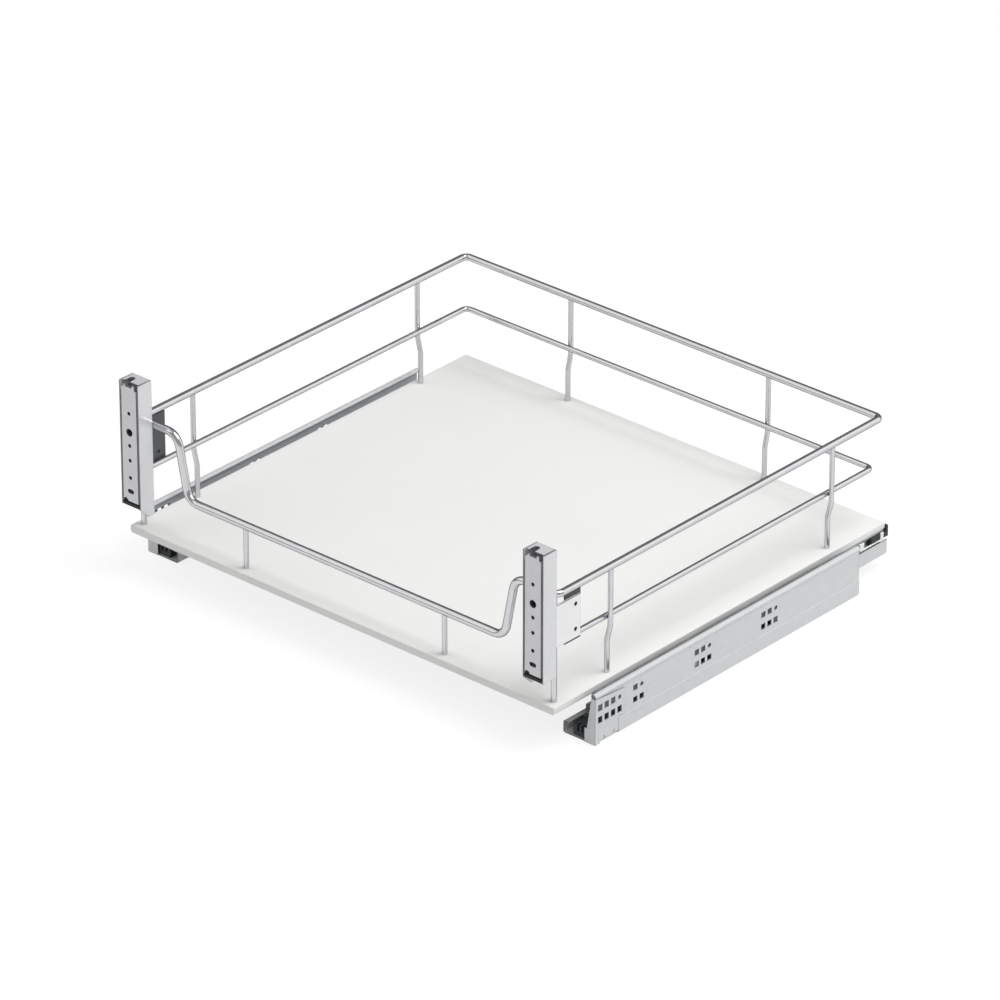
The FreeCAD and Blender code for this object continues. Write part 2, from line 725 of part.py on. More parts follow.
def middle_member():
    """Middle member: outer wall, raised web, inner wall with a lip, and a wing under the trough lip."""
    half = middle_sheet / 2
    inner = middle_inner_u - half
    wing_z = middle_wing_top - half
    web_z = middle_web_height + half
    tray = [(middle_outer_u + half, middle_wall_top), (middle_outer_u + half, web_z), (inner, web_z)]
    guide = [(middle_inner_u - middle_lip, middle_inner_wall_top - half), (inner, middle_inner_wall_top - half),
             (inner, wing_z), (middle_inner_u + middle_wing - middle_sheet, wing_z)]
    member = slide_profile(tray, middle_sheet, inner_front_y, inner_rear_y)
    member = member.fuse(slide_profile(guide, middle_sheet, inner_front_y, inner_rear_y, sheet_bend / 4))
    corner_y = inner_rear_y - middle_rear_radius
    corner_z = middle_web_height + middle_rear_radius
    corner = slide_block(middle_outer_u, middle_outer_u + middle_sheet + sheet_bend, corner_y, inner_rear_y,
                         middle_web_height, corner_z)
    keep = rod(Vec(from_side(0), corner_y, corner_z), Vec(from_side(trough_width), corner_y, corner_z),
               2 * middle_rear_radius)
    return member.removeSplitter().cut(corner.cut(keep))


def drawer_member(screws):
    """Drawer member: a flange under the board, a web and a foot trapped in the middle member."""
    flange = slide_block(drawer_flange_start, drawer_flange_start + drawer_flange_width,
                         inner_front_y, board_rear_y, board_lift - drawer_sheet, board_lift)
    web = slide_block(drawer_web_u, drawer_web_u + drawer_sheet, inner_front_y, board_rear_y,
                      drawer_foot_bottom, board_lift)
    foot = slide_block(middle_outer_u + middle_sheet + drawer_foot_side_gap,
                       middle_inner_u - middle_sheet - drawer_foot_side_gap,
                       inner_front_y, board_rear_y, drawer_foot_bottom, drawer_foot_top)
    member = flange.fuse([web, foot]).removeSplitter()
    return member.cut(Part.makeCompound(screws))


def roller_places(start_y, length):
    """Y of each roller's axis, spread evenly along a cage."""
    pitch = length / roller_count
    return [start_y + pitch * (index + 0.5) for index in range(roller_count)]


def roller_set(centre_u, centre_z, start_y, length, diameter, roller_length, trunnion):
    """Rollers with their trunnions, one solid each."""
    rollers = []
    reach = roller_length / 2 + cage_side_bar
    for y in roller_places(start_y, length):
        body = rod(Vec(from_side(centre_u + roller_length / 2), y, centre_z),
                   Vec(from_side(centre_u - roller_length / 2), y, centre_z), diameter)
        axle = rod(Vec(from_side(centre_u + reach), y, centre_z),
                   Vec(from_side(centre_u - reach), y, centre_z), trunnion)
        rollers.append(body.fuse(axle).removeSplitter())
    return rollers


def roller_cage(centre_u, centre_z, start_y, length, thickness, diameter, roller_length, trunnion):
    """Flat cage with a window and a pair of bores for each roller."""
    half_window = roller_length / 2 + roller_gap
    half_width = half_window + cage_side_bar
    cage = slide_block(centre_u - half_width, centre_u + half_width, start_y, start_y + length,
                       centre_z - thickness / 2, centre_z + thickness / 2)
    for y in roller_places(start_y, length):
        half = diameter / 2 + roller_gap
        cage = cage.cut(slide_block(centre_u - half_window, centre_u + half_window, y - half, y + half,
                                    centre_z - thickness, centre_z + thickness))
        cage = cage.cut(rod(Vec(from_side(centre_u + half_width), y, centre_z),
                            Vec(from_side(centre_u - half_width), y, centre_z), trunnion + 2 * running_gap))
    return cage


def lower_carriage():
    """Cage and rollers between the trough floor and the middle member's web."""
    centre_z = cabinet_sheet + roller_gap + lower_roller / 2
    rollers = roller_set(lower_cage_centre_u, centre_z, lower_cage_y, lower_cage_length, lower_roller,
                         lower_roller_length, lower_trunnion)
    cage = roller_cage(lower_cage_centre_u, centre_z, lower_cage_y, lower_cage_length, lower_cage_thickness,
                       lower_roller, lower_roller_length, lower_trunnion)
    return cage, rollers


def upper_carriage():
    """Cage and rollers between the middle member's web and the drawer member's foot."""
    centre_z = middle_web_top + roller_gap + upper_roller / 2
    centre_u = middle_outer_u + middle_width / 2
    rollers = roller_set(centre_u, centre_z, upper_cage_y, upper_cage_length, upper_roller,
                         upper_roller_length, upper_trunnion)
    cage = roller_cage(centre_u, centre_z, upper_cage_y, upper_cage_length, upper_cage_thickness,
                       upper_roller, upper_roller_length, upper_trunnion)
    return cage, rollers


def carriage_stop():
    """Plastic block in the trough's front end, with a toothed front face."""
    start_y = cabinet_front_y + stop_front_gap
    start_u = flange_u + sheet_bend
    end_u = middle_inner_u - middle_sheet - stop_side_gap
    stop = slide_block(start_u, end_u, start_y, start_y + stop_length, cabinet_sheet, stop_top)
    tooth_u = start_u + stop_tooth_pitch / 2
    while tooth_u + stop_tooth_width < end_u:
        stop = stop.cut(slide_block(tooth_u, tooth_u + stop_tooth_width, start_y, start_y + stop_tooth_depth,
                                    cabinet_sheet + stop_rib_height, stop_top))
        tooth_u += stop_tooth_pitch
    return stop


def rear_shoe():
    """Plastic shoe on the drawer member's web, with a cap behind the board's rear edge."""
    side_u = shoe_outer_u + shoe_inset
    recess_u = shoe_outer_u + frame_sheet
    top = board_lift - drawer_sheet
    shoe_y = board_rear_y - shoe_front_inset
    post_y = board_rear_y - frame_post_inset
    end_y = board_rear_y - shoe_end_inset
    cap_y = board_rear_y + shoe_cap_gap
    body = slide_block(side_u, drawer_web_u, shoe_y, post_y, frame_foot_bottom + frame_foot, top)
    keel = slide_block(recess_u, drawer_web_u, shoe_y, post_y, shoe_bottom, frame_foot_bottom + frame_foot)
    bridge = slide_block(recess_u, drawer_web_u, post_y, end_y, shoe_end_bottom, top)
    end = slide_block(shoe_outer_u, drawer_web_u, end_y, cap_y, shoe_end_bottom, top)
    cap = slide_block(shoe_outer_u, drawer_flange_start + drawer_flange_width, cap_y,
                      cap_y + shoe_cap_thickness, shoe_end_bottom, shoe_cap_top)
    return body.fuse([keel, bridge, end, cap]).removeSplitter()


def shoe_frame():
    """Pale plastic frame on the shoe's outer side: a front block, a thin foot and a post."""
    inner_u = shoe_outer_u + frame_sheet
    top = board_lift - frame_top_gap
    start_y = board_rear_y - frame_front_inset
    post_y = board_rear_y - frame_post_inset
    end_y = board_rear_y - shoe_end_inset
    foot_top = frame_foot_bottom + frame_foot
    foot = slide_block(shoe_outer_u, inner_u, start_y, end_y, frame_foot_bottom, foot_top)
    front = slide_block(shoe_outer_u, inner_u, start_y, start_y + frame_front_length, frame_foot_bottom, top)
    arm = slide_block(inner_u, drawer_web_u, start_y, start_y + frame_front_length, frame_foot_bottom,
                      board_lift - drawer_sheet)
    post = slide_block(shoe_outer_u, inner_u, post_y, end_y, foot_top, top)
    return foot.fuse([front, arm, post]).removeSplitter()


def save(name, shapes):
    """Write one node's solids to its STEP file."""
    solids = []
    for shape in shapes:
        solids.extend(shape.Solids)
    for solid in solids:
        if not solid.isValid() or solid.Volume < 1:
            print("CHECK", name, "has a bad solid", round(solid.Volume, 2))
    whole = solids[0] if len(solids) == 1 else Part.makeCompound(solids)
    whole.exportStep(os.path.join("parts", name + ".step"))


def save_pair(name, shapes):
    """Write a right-hand node and its mirrored left-hand node."""
    save(name + "_right", shapes)
    save(name + "_left", [mirrored(shape) for shape in shapes])


def build():
    """Make every sub-part and write it."""
    os.makedirs("parts", exist_ok=True)
    posts, post_screws = railing()
    rail_screws = [rail_screw_at(x, y) for x, y in rail_screw_places()]
    right_screws = post_screws + rail_screws
    save("base_board", [base_board(right_screws + [mirrored(screw) for screw in right_screws])])
    save("top_rail", [top_rail()])
    save("lower_rail", [lower_rail()])
    save("front_rail", [front_rail()])
    for name, post in posts.items():
        save_pair(name, [post])
    save("post_screws", post_screws + [mirrored(screw) for screw in post_screws])
    save("rail_screws", rail_screws + [mirrored(screw) for screw in rail_screws])
    save_pair("fixing_plate", [fixing_plate()])
    save_pair("plate_backing", [plate_backing()])
    channel = front_channel()
    save("front_channel_right", [channel.cut(lid_slot())])
    save("front_channel_left", [mirrored(channel).cut(same_on_left(lid_slot()))])
    save_pair("channel_foot", [channel_foot()])
    strip = front_strip()
    save("front_strip_right", [strip])
    save("front_strip_left", [same_on_left(strip)])
    save_pair("adjuster_cam", [adjuster_cam()])
    save_pair("clamp_screw", [clamp_screw()])
    save_pair("cabinet_member", [cabinet_member()])
    save_pair("front_bracket", [front_bracket()])
    save_pair("middle_member", [middle_member()])
    save_pair("drawer_member", [drawer_member(rail_screws)])
    for name, carriage in (("lower", lower_carriage()), ("upper", upper_carriage())):
        cage, rollers = carriage
        save_pair(name + "_roller_cage", [cage])
        save_pair(name + "_rollers", rollers)
    save_pair("carriage_stop", [carriage_stop()])
    save_pair("rear_shoe", [rear_shoe()])
    save_pair("shoe_frame", [shoe_frame()])


build()
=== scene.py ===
import logging
import math
from dataclasses import dataclass
from enum import Enum
from typing import Iterable, Sequence

import bmesh
import bpy
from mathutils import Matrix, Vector


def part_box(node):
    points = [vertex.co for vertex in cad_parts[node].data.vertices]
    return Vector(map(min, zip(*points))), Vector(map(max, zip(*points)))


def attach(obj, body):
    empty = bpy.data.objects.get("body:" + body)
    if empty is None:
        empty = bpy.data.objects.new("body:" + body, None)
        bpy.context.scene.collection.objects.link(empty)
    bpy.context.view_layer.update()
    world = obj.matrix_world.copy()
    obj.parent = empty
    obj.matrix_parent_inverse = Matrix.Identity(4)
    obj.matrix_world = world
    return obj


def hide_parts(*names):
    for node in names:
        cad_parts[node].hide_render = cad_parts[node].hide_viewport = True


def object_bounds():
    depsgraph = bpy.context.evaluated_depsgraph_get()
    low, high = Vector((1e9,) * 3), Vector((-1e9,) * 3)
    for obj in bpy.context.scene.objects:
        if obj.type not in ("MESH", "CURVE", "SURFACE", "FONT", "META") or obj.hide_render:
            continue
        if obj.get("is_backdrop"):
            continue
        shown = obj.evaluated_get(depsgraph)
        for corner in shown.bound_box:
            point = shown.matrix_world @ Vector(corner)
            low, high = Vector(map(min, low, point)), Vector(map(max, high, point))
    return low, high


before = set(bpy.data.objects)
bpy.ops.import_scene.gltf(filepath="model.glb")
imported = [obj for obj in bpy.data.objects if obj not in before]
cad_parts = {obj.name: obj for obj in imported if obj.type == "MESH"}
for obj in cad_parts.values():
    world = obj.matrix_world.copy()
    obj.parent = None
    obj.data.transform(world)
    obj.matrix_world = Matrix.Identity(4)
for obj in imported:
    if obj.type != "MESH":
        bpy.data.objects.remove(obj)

logger = logging.getLogger("wire_drawer")

Colour = tuple[float, float, float]
Point = tuple[float, float, float]
Socket = bpy.types.NodeSocket
Inputs = dict[str | int, object]

# Face layer for the darkened faces: cut edges, bores and broken edges, partly painted shade.
CUT_AND_SHADE_LAYER = "cut_and_shade_face"
FINISH_INPUT = "Finish"
MERGE_DISTANCE = 1e-6
PAIRED_BODIES = ("middle", "lower_carriage", "upper_carriage", "panel_strip", "height_adjuster")

# A noise pattern keeps near its middle, so this part of it is stretched over the whole range.
PATTERN_LOW = 0.3
PATTERN_HIGH = 0.7


class Side(Enum):
    """The two mirrored halves of the drawer, by the sign of their X."""

    RIGHT = 1
    LEFT = -1

    def node(self, name: str) -> str:
        """The name of this side's CAD node or body."""
        return f"{name}_{self.name.lower()}"


class Grain(Enum):
    """The way that a rolled sheet's lines run, as how much finer they are along each axis."""

    LENGTHWISE = (30.0, 1.0, 30.0)
    UPRIGHT = (30.0, 30.0, 1.0)


@dataclass(frozen=True)
class Pattern:
    """A noise pattern, by how many features fit in a metre and how many finer layers lie in it."""

    scale: float
    layers: float


def place_object(name: str, data: bpy.types.ID) -> bpy.types.Object:
    """Make an object at the origin and link it to the scene.

    Args:
        name: The object's name.
        data: Its mesh, curve, lamp or camera.

    Returns:
        The new object.
    """
    holder = bpy.data.objects.new(name, data)
    bpy.context.scene.collection.objects.link(holder)
    return holder


class TreeFiller:
    """A node tree with a short way to add its nodes."""

    def __init__(self, tree: bpy.types.NodeTree) -> None:
        """Take the tree that the nodes go into."""
        self.tree = tree

    def add(self, kind: str, inputs: Inputs | None = None, **settings: object) -> bpy.types.Node:
        """Add a node.

        Args:
            kind: The node's type name.
            inputs: Values or sockets for its inputs, by input name or number.
            settings: Attributes of the node itself.

        Returns:
            The new node.
        """
        node = self.tree.nodes.new(kind)
        for key, value in settings.items():
            setattr(node, key, value)
        for key, value in (inputs or {}).items():
            if isinstance(value, Socket):
                self.tree.links.new(value, node.inputs[key])
            else:
                node.inputs[key].default_value = value
        return node


class ShaderSheet(TreeFiller):
    """One material with its node tree and a few short ways to fill it."""

    def __init__(self, name: str) -> None:
        """Start an empty material.

        Args:
            name: The material's name.
        """
        self.material = bpy.data.materials.new(name)
        self.material.use_nodes = True
        super().__init__(self.material.node_tree)
        self.tree.nodes.clear()
        self.place = self.add("ShaderNodeTexCoord").outputs["Object"]

    def noise(self, pattern: Pattern, stretch: Point = (1.0, 1.0, 1.0)) -> Socket:
        """Make a noise pattern in the piece's own place.

        Args:
            pattern: Its scale and layers.
            stretch: How much finer it is along each axis.

        Returns:
            The noise's value socket.
        """
        mapping = self.add("ShaderNodeMapping", {"Vector": self.place, "Scale": stretch})
        return self.add("ShaderNodeTexNoise", {"Vector": mapping.outputs[0], "Scale": pattern.scale,
                                               "Detail": pattern.layers}).outputs[0]

    def spread(self, source: Socket, low: float, high: float) -> Socket:
        """Stretch the middle of a pattern over a range of values.

        Args:
            source: A pattern between 0 and 1.
            low: The value for its darker parts.
            high: The value for its lighter parts.

        Returns:
            The new value socket.
        """
        return self.add("ShaderNodeMapRange", {
            "Value": source, "From Min": PATTERN_LOW, "From Max": PATTERN_HIGH,
            "To Min": low, "To Max": high}).outputs[0]

    def blend(self, factor: Socket, first: Colour, second: Colour) -> Socket:
        """Blend two colours by the middle of a pattern.

        Args:
            factor: The pattern.
            first: The colour of its darker parts.
            second: The colour of its lighter parts.

        Returns:
            The colour socket.
        """
        ramp = self.add("ShaderNodeValToRGB", {"Fac": factor})
        ends = ((PATTERN_LOW, first), (PATTERN_HIGH, second))
        for element, (position, colour) in zip(ramp.color_ramp.elements, ends):
            element.position = position
            element.color = (*colour, 1.0)
        return ramp.outputs[0]

    def bump(self, height: Socket, depth: float) -> Socket:
        """Turn a height pattern into a bumped normal, with its depth in metres."""
        return self.add("ShaderNodeBump", {"Height": height, "Distance": depth, "Strength": 1.0}).outputs[0]

    def matt_grey(self, factor: Socket, darker: float, lighter: float) -> Socket:
        """A matt shader whose grey follows a pattern from one level to another."""
        colour = self.blend(factor, (darker, darker, darker), (lighter, lighter, lighter))
        return self.add("ShaderNodeBsdfDiffuse", {"Color": colour}).outputs[0]

    def either(self, first: Socket, second: Socket) -> Socket:
        """Whether at least one of two tests is true."""
        return self.add("ShaderNodeMath", {0: first, 1: second}, operation="MAXIMUM").outputs[0]

    def close(self, shader: bpy.types.Node) -> bpy.types.Material:
        """Send a shader to the output and hand the material over."""
        self.add("ShaderNodeOutputMaterial", {"Surface": shader.outputs[0]})
        return self.material

    def surface(self, inputs: Inputs) -> bpy.types.Material:
        """Close the material with one surface shader that has these inputs."""
        return self.close(self.add("ShaderNodeBsdfPrincipled", inputs))


@dataclass(frozen=True)
class Finish:
    """A surface finish, made into a material once.

    Its colour goes from darker to lighter times its middle, and its roughness from smoother below its middle
    to rougher above it.
    """

    name: str
    slot: str
    colour: Colour
    roughness: float
    darker: float = 0.9
    lighter: float = 1.1
    smoother: float = 0.05
    rougher: float = 0.05

    def material(self) -> bpy.types.Material:
        """The finish's material, made on its first use."""
        known = bpy.data.materials.get(self.name)
        return known if known else self.build(ShaderSheet(self.name))

    def build(self, sheet: ShaderSheet) -> bpy.types.Material:
        """Fill the empty material's tree."""
        raise NotImplementedError

    def tint(self, factor: float) -> Colour:
        """The colour made lighter or darker by a factor."""
        return tuple(min(channel * factor, 1.0) for channel in self.colour)

    def clouded(self, sheet: ShaderSheet, pattern: Socket) -> Socket:
        """The colour, darker and lighter with a pattern."""
        return sheet.blend(pattern, self.tint(self.darker), self.tint(self.lighter))

    def gloss(self, sheet: ShaderSheet, pattern: Socket) -> Socket:
        """The roughness, lower and higher with a pattern."""
        return sheet.spread(pattern, self.roughness - self.smoother, self.roughness + self.rougher)

    def dress(self, piece: bpy.types.Object) -> None:
        """Put the finish on every slot of a piece.

        Args:
            piece: The piece to dress.
        """
        if not piece.data.materials:
            piece.data.materials.append(None)
        for index in range(len(piece.data.materials)):
            piece.data.materials[index] = self.material()


@dataclass(frozen=True)
class Melamine(Finish):
    """White resin-faced board: satin, with a fine pearl texture and faint clouds."""

    darker: float = 0.985
    lighter: float = 1.0
    specular: float = 0.4
    pearl_depth: float = 0.000025
    clouds: Pattern = Pattern(9.0, 2.0)
    pearl: Pattern = Pattern(1400.0, 2.0)
    rub: Pattern = Pattern(60.0, 4.0)

    def build(self, sheet: ShaderSheet) -> bpy.types.Material:
        """Fill the tree with clouds, pearl texture and rubbed gloss.

        Args:
            sheet: The empty material.

        Returns:
            The finished material.
        """
        return sheet.surface({
            "Base Color": self.clouded(sheet, sheet.noise(self.clouds)),
            "Roughness": self.gloss(sheet, sheet.noise(self.rub)),
            "Normal": sheet.bump(sheet.noise(self.pearl), self.pearl_depth),
            "Specular IOR Level": self.specular})


@dataclass(frozen=True)
class PlatedWire(Finish):
    """Chrome-plated drawn wire: bright, with painted shade where it turns away, and clouds of gloss and faint
    pits.
    """

    darker: float = 0.95
    lighter: float = 1.04
    smoother: float = 0.03
    rougher: float = 0.04
    pit_depth: float = 0.000004
    # A low edge tint darkens the wire's reflections where it turns away from the camera: painted shade along
    # its outlines.
    edge: float = 0.15
    clouds: Pattern = Pattern(70.0, 3.0)
    pits: Pattern = Pattern(2200.0, 2.0)

    def build(self, sheet: ShaderSheet) -> bpy.types.Material:
        """Fill the tree with plating clouds and fine pits.

        Args:
            sheet: The empty material.

        Returns:
            The finished material.
        """
        clouds = sheet.noise(self.clouds)
        return sheet.surface({
            "Base Color": self.clouded(sheet, clouds),
            "Metallic": 1.0,
            # Low edge tint: painted shade on the wire's rims.
            "Specular Tint": (self.edge, self.edge, self.edge, 1.0),
            "Roughness": self.gloss(sheet, clouds),
            "Normal": sheet.bump(sheet.noise(self.pits), self.pit_depth)})


@dataclass(frozen=True)
class RolledSheet(Finish):
    """Zinc-coated sheet: rolling lines, faint crystal patches, handling marks and darker marked faces: bare
    steel on cut edges, painted shade in bores and along broken edges.
    """

    darker: float = 0.95
    lighter: float = 1.0
    smoother: float = 0.06
    rougher: float = 0.08
    grain: Grain = Grain.UPRIGHT
    metal: float = 1.0
    line_depth: float = 0.000012
    # How dark the marked faces turn: bare steel on cut edges, painted shade in bores and along broken edges.
    bare_steel_and_painted_shade: float = 0.30
    crystal_scale: float = 260.0
    lines: Pattern = Pattern(160.0, 4.0)
    marks: Pattern = Pattern(35.0, 5.0)

    def build(self, sheet: ShaderSheet) -> bpy.types.Material:
        """Fill the tree with rolling lines, crystal patches, handling marks and darker marked faces, partly
        bare cut steel and partly painted shade.

        Args:
            sheet: The empty material.

        Returns:
            The finished material.
        """
        lines = sheet.noise(self.lines, self.grain.value)
        crystals = sheet.add("ShaderNodeTexVoronoi", {"Vector": sheet.place, "Scale": self.crystal_scale})
        grey = sheet.add("ShaderNodeRGBToBW", {"Color": crystals.outputs["Color"]})
        # Marked faces are darkened: bare steel on cut edges, painted shade in bores and along broken edges.
        cut_and_shade_mark = sheet.add("ShaderNodeAttribute", attribute_name=CUT_AND_SHADE_LAYER)
        shade = sheet.add("ShaderNodeMapRange", {"Value": cut_and_shade_mark.outputs["Fac"], "To Min": 1.0,
                                                 "To Max": self.bare_steel_and_painted_shade})
        colour = sheet.add("ShaderNodeVectorMath", {"Vector": self.clouded(sheet, grey.outputs[0]),
                                                    "Scale": shade.outputs[0]}, operation="SCALE")
        return sheet.surface({
            "Base Color": colour.outputs[0],
            "Metallic": self.metal,
            "Roughness": self.gloss(sheet, sheet.noise(self.marks)),
            "Normal": sheet.bump(lines, self.line_depth)})


@dataclass(frozen=True)
class MouldedPlastic(Finish):
    """Moulded plastic with a fine spark-eroded texture and faint flow clouds."""

    darker: float = 0.85
    lighter: float = 1.15
    rougher: float = 0.08
    texture_depth: float = 0.00003
    texture: Pattern = Pattern(1800.0, 3.0)
    flow: Pattern = Pattern(40.0, 2.0)

    def build(self, sheet: ShaderSheet) -> bpy.types.Material:
        """Fill the tree with a fine texture and flow clouds.

        Args:
            sheet: The empty material.

        Returns:
            The finished material.
        """
        flow = sheet.noise(self.flow)
        return sheet.surface({
            "Base Color": self.clouded(sheet, flow),
            "Roughness": self.gloss(sheet, flow),
            "Normal": sheet.bump(sheet.noise(self.texture), self.texture_depth)})


@dataclass(frozen=True)
class DarkSatin(Finish):
    """Dark satin surface with a fine spray texture; on the weld beads its near-black colour is painted shade.
    """

    spray_depth: float = 0.00002
    spray: Pattern = Pattern(900.0, 3.0)
    clouds: Pattern = Pattern(55.0, 3.0)

    def build(self, sheet: ShaderSheet) -> bpy.types.Material:
        """Fill the tree with spray texture and slight gloss changes.

        Args:
            sheet: The empty material.

        Returns:
            The finished material.
        """
        clouds = sheet.noise(self.clouds)
        return sheet.surface({
            "Base Color": self.clouded(sheet, clouds),
            "Roughness": self.gloss(sheet, clouds),
            "Normal": sheet.bump(sheet.noise(self.spray), self.spray_depth)})


BOARD_WHITE = Melamine("board_white", "white_board", (0.875, 0.878, 0.86), 0.42)
RAIL_CHROME = PlatedWire("rail_chrome", "chrome_wire", (0.62, 0.62, 0.64), 0.14)
POST_CHROME = PlatedWire("post_chrome", "chrome_wire", (0.62, 0.62, 0.64), 0.22)
# The weld beads are near black: painted shade where the posts meet the rails.
WELD_PAINTED_SHADE = DarkSatin("weld_painted_shade", "chrome_wire", (0.045, 0.045, 0.05), 0.5)
CHANNEL_ZINC = RolledSheet("channel_zinc", "plated_sheet", (0.73, 0.735, 0.755), 0.17, darker=0.985,
                           metal=0.3, line_depth=0.000004)
STRIP_ZINC = RolledSheet("strip_zinc", "plated_sheet", (0.68, 0.685, 0.70), 0.34, darker=0.98,
                         metal=0.35, line_depth=0.000006)
# The fixing plate's marked faces turn near black: painted shade in its holes and along its edges.
PLATE_ZINC = RolledSheet("plate_zinc", "plated_sheet", (0.90, 0.90, 0.91), 0.34, darker=0.985,
                         grain=Grain.LENGTHWISE, metal=0.25, line_depth=0.000006, bare_steel_and_painted_shade=0.04)
SLIDE_ZINC = RolledSheet("slide_zinc", "galvanised_sheet", (0.665, 0.68, 0.695), 0.36, darker=0.97,
                         grain=Grain.LENGTHWISE, metal=0.14)
SCREW_ZINC = RolledSheet("screw_zinc", "zinc_screw", (0.62, 0.62, 0.62), 0.30)
SCREW_DARK = RolledSheet("screw_dark", "zinc_screw", (0.15, 0.15, 0.157), 0.28, metal=0.9)
BLACK_PLASTIC = MouldedPlastic("black_plastic", "black_plastic", (0.010, 0.013, 0.016), 0.5)
WHITE_PLASTIC = MouldedPlastic("white_plastic", "white_plastic", (0.80, 0.80, 0.80), 0.40)
# Near-black backing, seen as a dark band between the fixing plate's top and the top rail.
DARK_BACKING = DarkSatin("dark_backing", "dark_plate", (0.07, 0.073, 0.077), 0.5)


def settle(piece: bpy.types.Object, body: str, finish: Finish, replaced: Iterable[str] = ()) -> None:
    """Dress a finished piece, let it ride on its body and hide the CAD nodes that it stands for.

    Args:
        piece: The piece, at the origin with its place in its mesh.
        body: The CAD body that it moves with.
        finish: Its surface finish.
        replaced: CAD nodes that it stands for.
    """
    finish.dress(piece)
    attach(piece, body)
    for node in replaced:
        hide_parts(node)
    logger.info("%s rides on %s in %s", piece.name, body, finish.name)


class NodeTree(TreeFiller):
    """A Geometry Nodes tree with named inputs, built in the script."""

    crisp_angle = math.radians(35)

    def __init__(self, name: str, lengths: Sequence[str], counts: Sequence[str]) -> None:
        """Start the tree.

        Args:
            name: The tree's name.
            lengths: The names of its inputs in metres.
            counts: The names of its whole-number inputs.
        """
        super().__init__(bpy.data.node_groups.new(name, "GeometryNodeTree"))
        face = self.tree.interface
        face.new_socket("Geometry", in_out="INPUT", socket_type="NodeSocketGeometry")
        self.identifiers: dict[str, str] = {}
        for kind, labels in (("NodeSocketFloat", lengths), ("NodeSocketInt", counts),
                             ("NodeSocketMaterial", [FINISH_INPUT])):
            for label in labels:
                socket = face.new_socket(label, in_out="INPUT", socket_type=kind)
                self.identifiers[label] = socket.identifier
        face.new_socket("Geometry", in_out="OUTPUT", socket_type="NodeSocketGeometry")
        self.entry = self.add("NodeGroupInput")

    def size(self, label: str) -> Socket:
        """The socket of a named input."""
        return self.entry.outputs[label]

    def close(self, geometry: Socket) -> None:
        """Realize the instances, shade them, set the material and end the tree.

        Args:
            geometry: The geometry to hand out.
        """
        whole = self.add("GeometryNodeRealizeInstances", {"Geometry": geometry})
        smooth = self.add("GeometryNodeSetShadeSmooth", {"Geometry": whole.outputs[0]}, domain="FACE")
        angle = self.add("GeometryNodeInputMeshEdgeAngle")
        sharp = self.add("ShaderNodeMath", {0: angle.outputs[0], 1: self.crisp_angle},
                         operation="GREATER_THAN")
        crisp = self.add("GeometryNodeSetShadeSmooth", {
            "Geometry": smooth.outputs[0], "Selection": sharp.outputs[0], "Shade Smooth": False},
            domain="EDGE")
        dressed = self.add("GeometryNodeSetMaterial", {"Geometry": crisp.outputs[0],
                                                       "Material": self.size(FINISH_INPUT)})
        self.add("NodeGroupOutput", {0: dressed.outputs[0]})

    def bake(self, source: bpy.types.Object, name: str, values: dict[str, object]) -> bpy.types.Object:
        """Run the tree on an object and keep the result as a plain mesh.

        Args:
            source: The object with the path or points, used up here.
            name: The new piece's name.
            values: The named inputs' values.

        Returns:
            The new piece.
        """
        modifier = source.modifiers.new("shape", "NODES")
        modifier.node_group = self.tree
        for label, value in values.items():
            modifier[self.identifiers[label]] = value
        bpy.context.view_layer.update()
        evaluated = source.evaluated_get(bpy.context.evaluated_depsgraph_get())
        mesh = bpy.data.meshes.new_from_object(evaluated)
        mesh.name = name
        source.modifiers.clear()
        bpy.data.objects.remove(source)
        return place_object(name, mesh)


def path_object(points: Sequence[Point]) -> bpy.types.Object:
    """Make a curve object of one open run of straight stretches.

    Args:
        points: The corners of the path.

    Returns:
        The curve object.
    """
    curve = bpy.data.curves.new("path", "CURVE")
    curve.dimensions = "3D"
    spline = curve.splines.new("POLY")
    spline.points.add(len(points) - 1)
    for target, point in zip(spline.points, points):
        target.co = (*point, 1.0)
    return place_object("path", curve)


def points_object(points: Sequence[Point]) -> bpy.types.Object:
    """Make a mesh object of loose points.

    Args:
        points: The points.

    Returns:
        The mesh object.
    """
    mesh = bpy.data.meshes.new("points")
    mesh.from_pydata([tuple(point) for point in points], [], [])
    return place_object("points", mesh)


def wire_tree() -> NodeTree:
    """Tree that sweeps a round wire along a path and bends its corners.

    Returns:
        The tree.
    """
    tree = NodeTree("bent_wire", ["Wire Radius", "Bend Radius"], ["Bend Steps", "Round Steps"])
    bent = tree.add("GeometryNodeFilletCurve", {
        "Curve": tree.size("Geometry"), "Count": tree.size("Bend Steps"), "Radius": tree.size("Bend Radius")},
        mode="POLY")
    section = tree.add("GeometryNodeCurvePrimitiveCircle", {
        "Resolution": tree.size("Round Steps"), "Radius": tree.size("Wire Radius")})
    swept = tree.add("GeometryNodeCurveToMesh", {
        "Curve": bent.outputs[0], "Profile Curve": section.outputs[0], "Fill Caps": True})
    tree.close(swept.outputs[0])
    return tree


def weld_tree() -> NodeTree:
    """Tree that sets a small weld bead on every point.

    Returns:
        The tree.
    """
    tree = NodeTree("weld_beads", ["Bead Radius"], ["Round Steps"])
    bead = tree.add("GeometryNodeMeshUVSphere", {
        "Segments": tree.size("Round Steps"), "Rings": tree.size("Round Steps"),
        "Radius": tree.size("Bead Radius")})
    beads = tree.add("GeometryNodeInstanceOnPoints", {
        "Points": tree.size("Geometry"), "Instance": bead.outputs[0]})
    tree.close(beads.outputs[0])
    return tree


